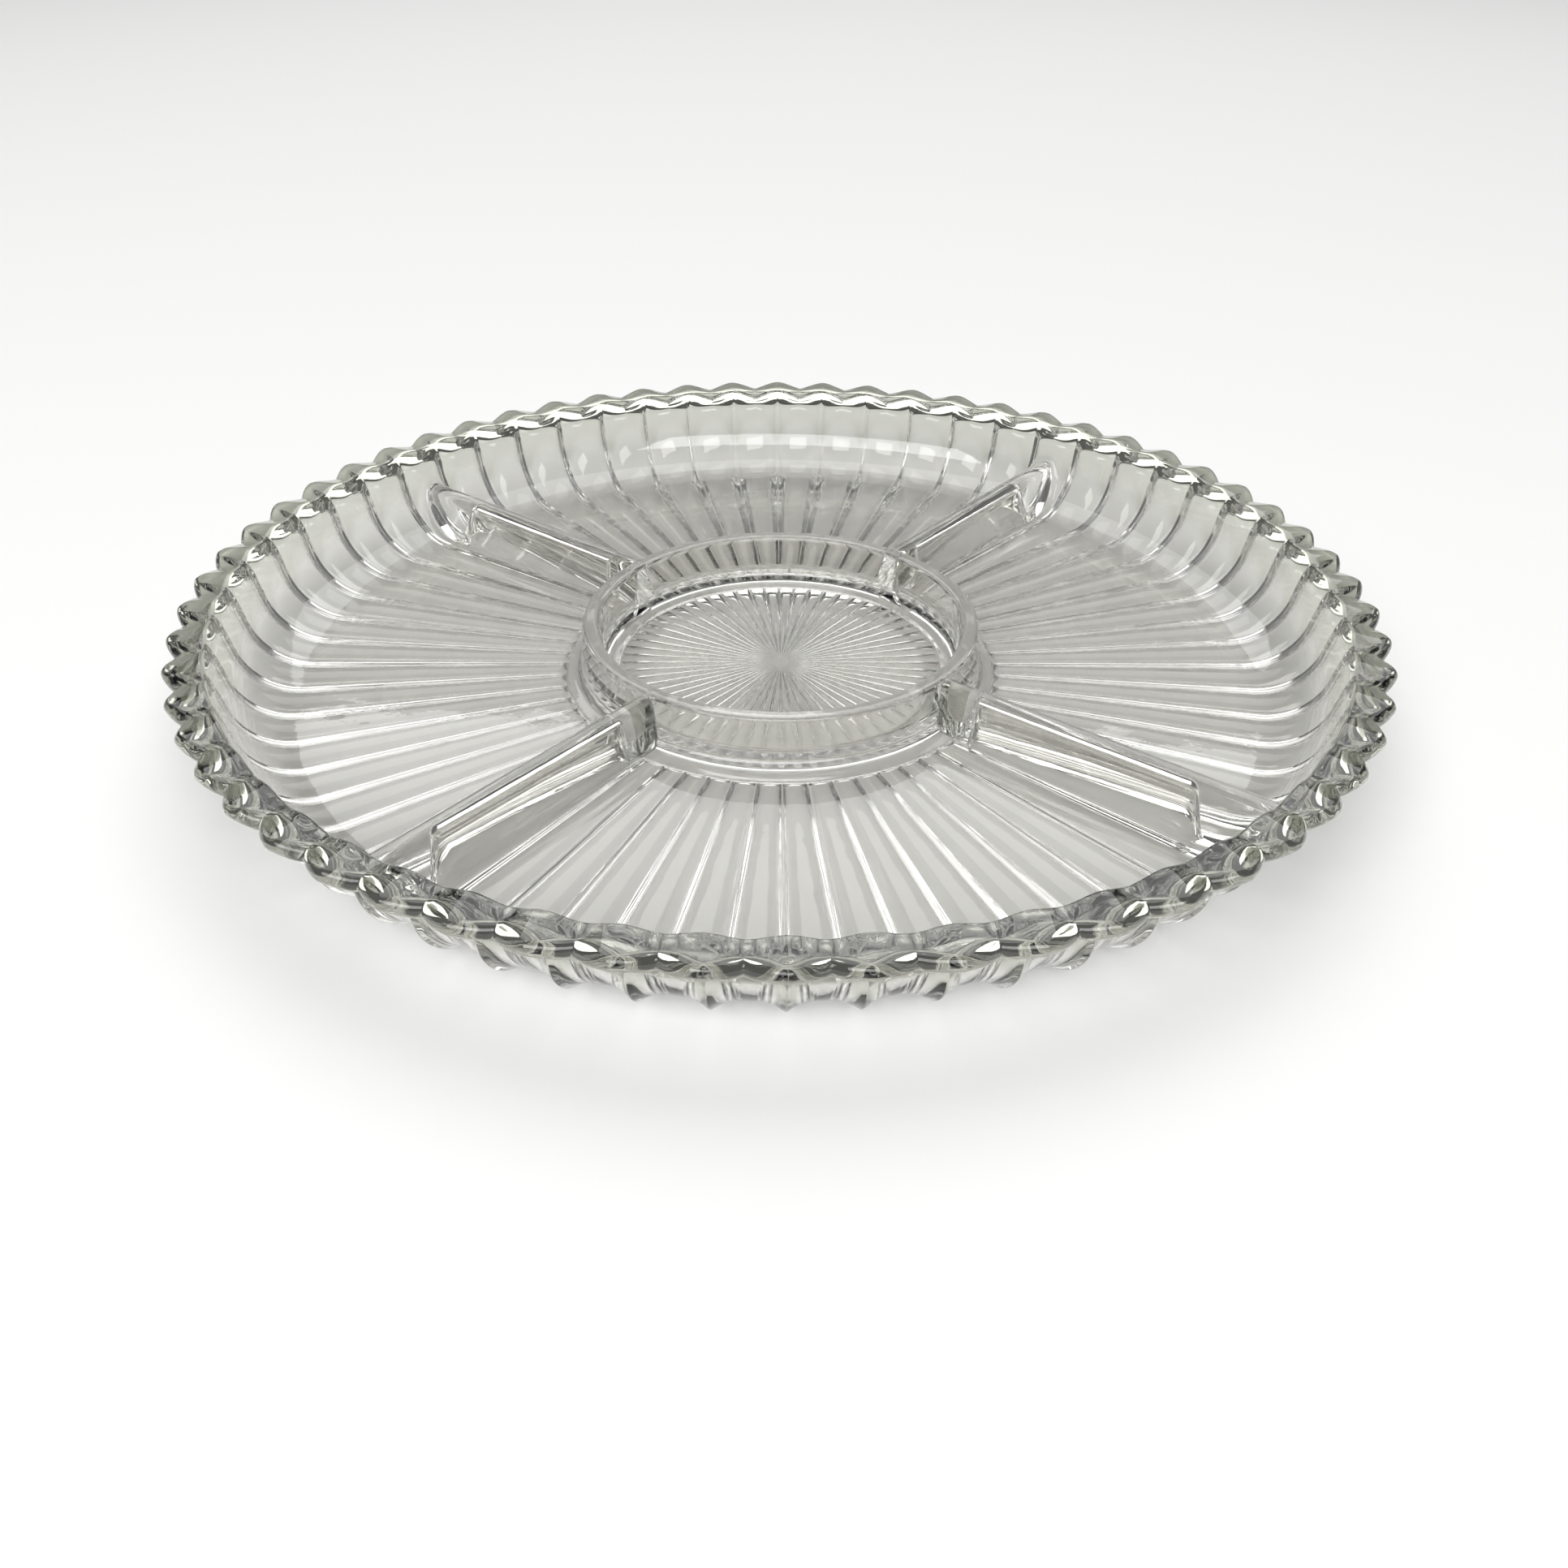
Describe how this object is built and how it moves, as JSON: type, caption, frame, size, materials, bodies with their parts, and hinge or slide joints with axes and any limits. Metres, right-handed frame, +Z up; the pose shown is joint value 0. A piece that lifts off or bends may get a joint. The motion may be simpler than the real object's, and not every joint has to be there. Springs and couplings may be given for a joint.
{
  "type": "divided serving tray",
  "caption": "Round pressed-glass divided tray with a toothed rim, radial flutes underneath, equal compartments and a ringed centre well for dip.",
  "frame": {"origin": "middle of the tray, on the surface that the foot ring stands on", "axes": "+Z up along the tray's axis; +X and +Y each point through the middle of a compartment, and the dividers lie on the diagonals between them"},
  "size_m": [0.356, 0.356, 0.034],
  "materials": {
    "pressed_glass": "clear and fire-polished, with a faint grey-green tint where it is thick"
  },
  "bodies": {
    "root": {"rim": "pressed_glass", "side_wall": "pressed_glass", "cove": "pressed_glass", "floor_right": "pressed_glass", "floor_back": "pressed_glass", "floor_left": "pressed_glass", "floor_front": "pressed_glass", "foot_ring": "pressed_glass", "centre_ring": "pressed_glass", "centre_floor": "pressed_glass", "divider_back_right": "pressed_glass", "divider_back_left": "pressed_glass", "divider_front_left": "pressed_glass", "divider_front_right": "pressed_glass"}
  },
  "joints": []
}
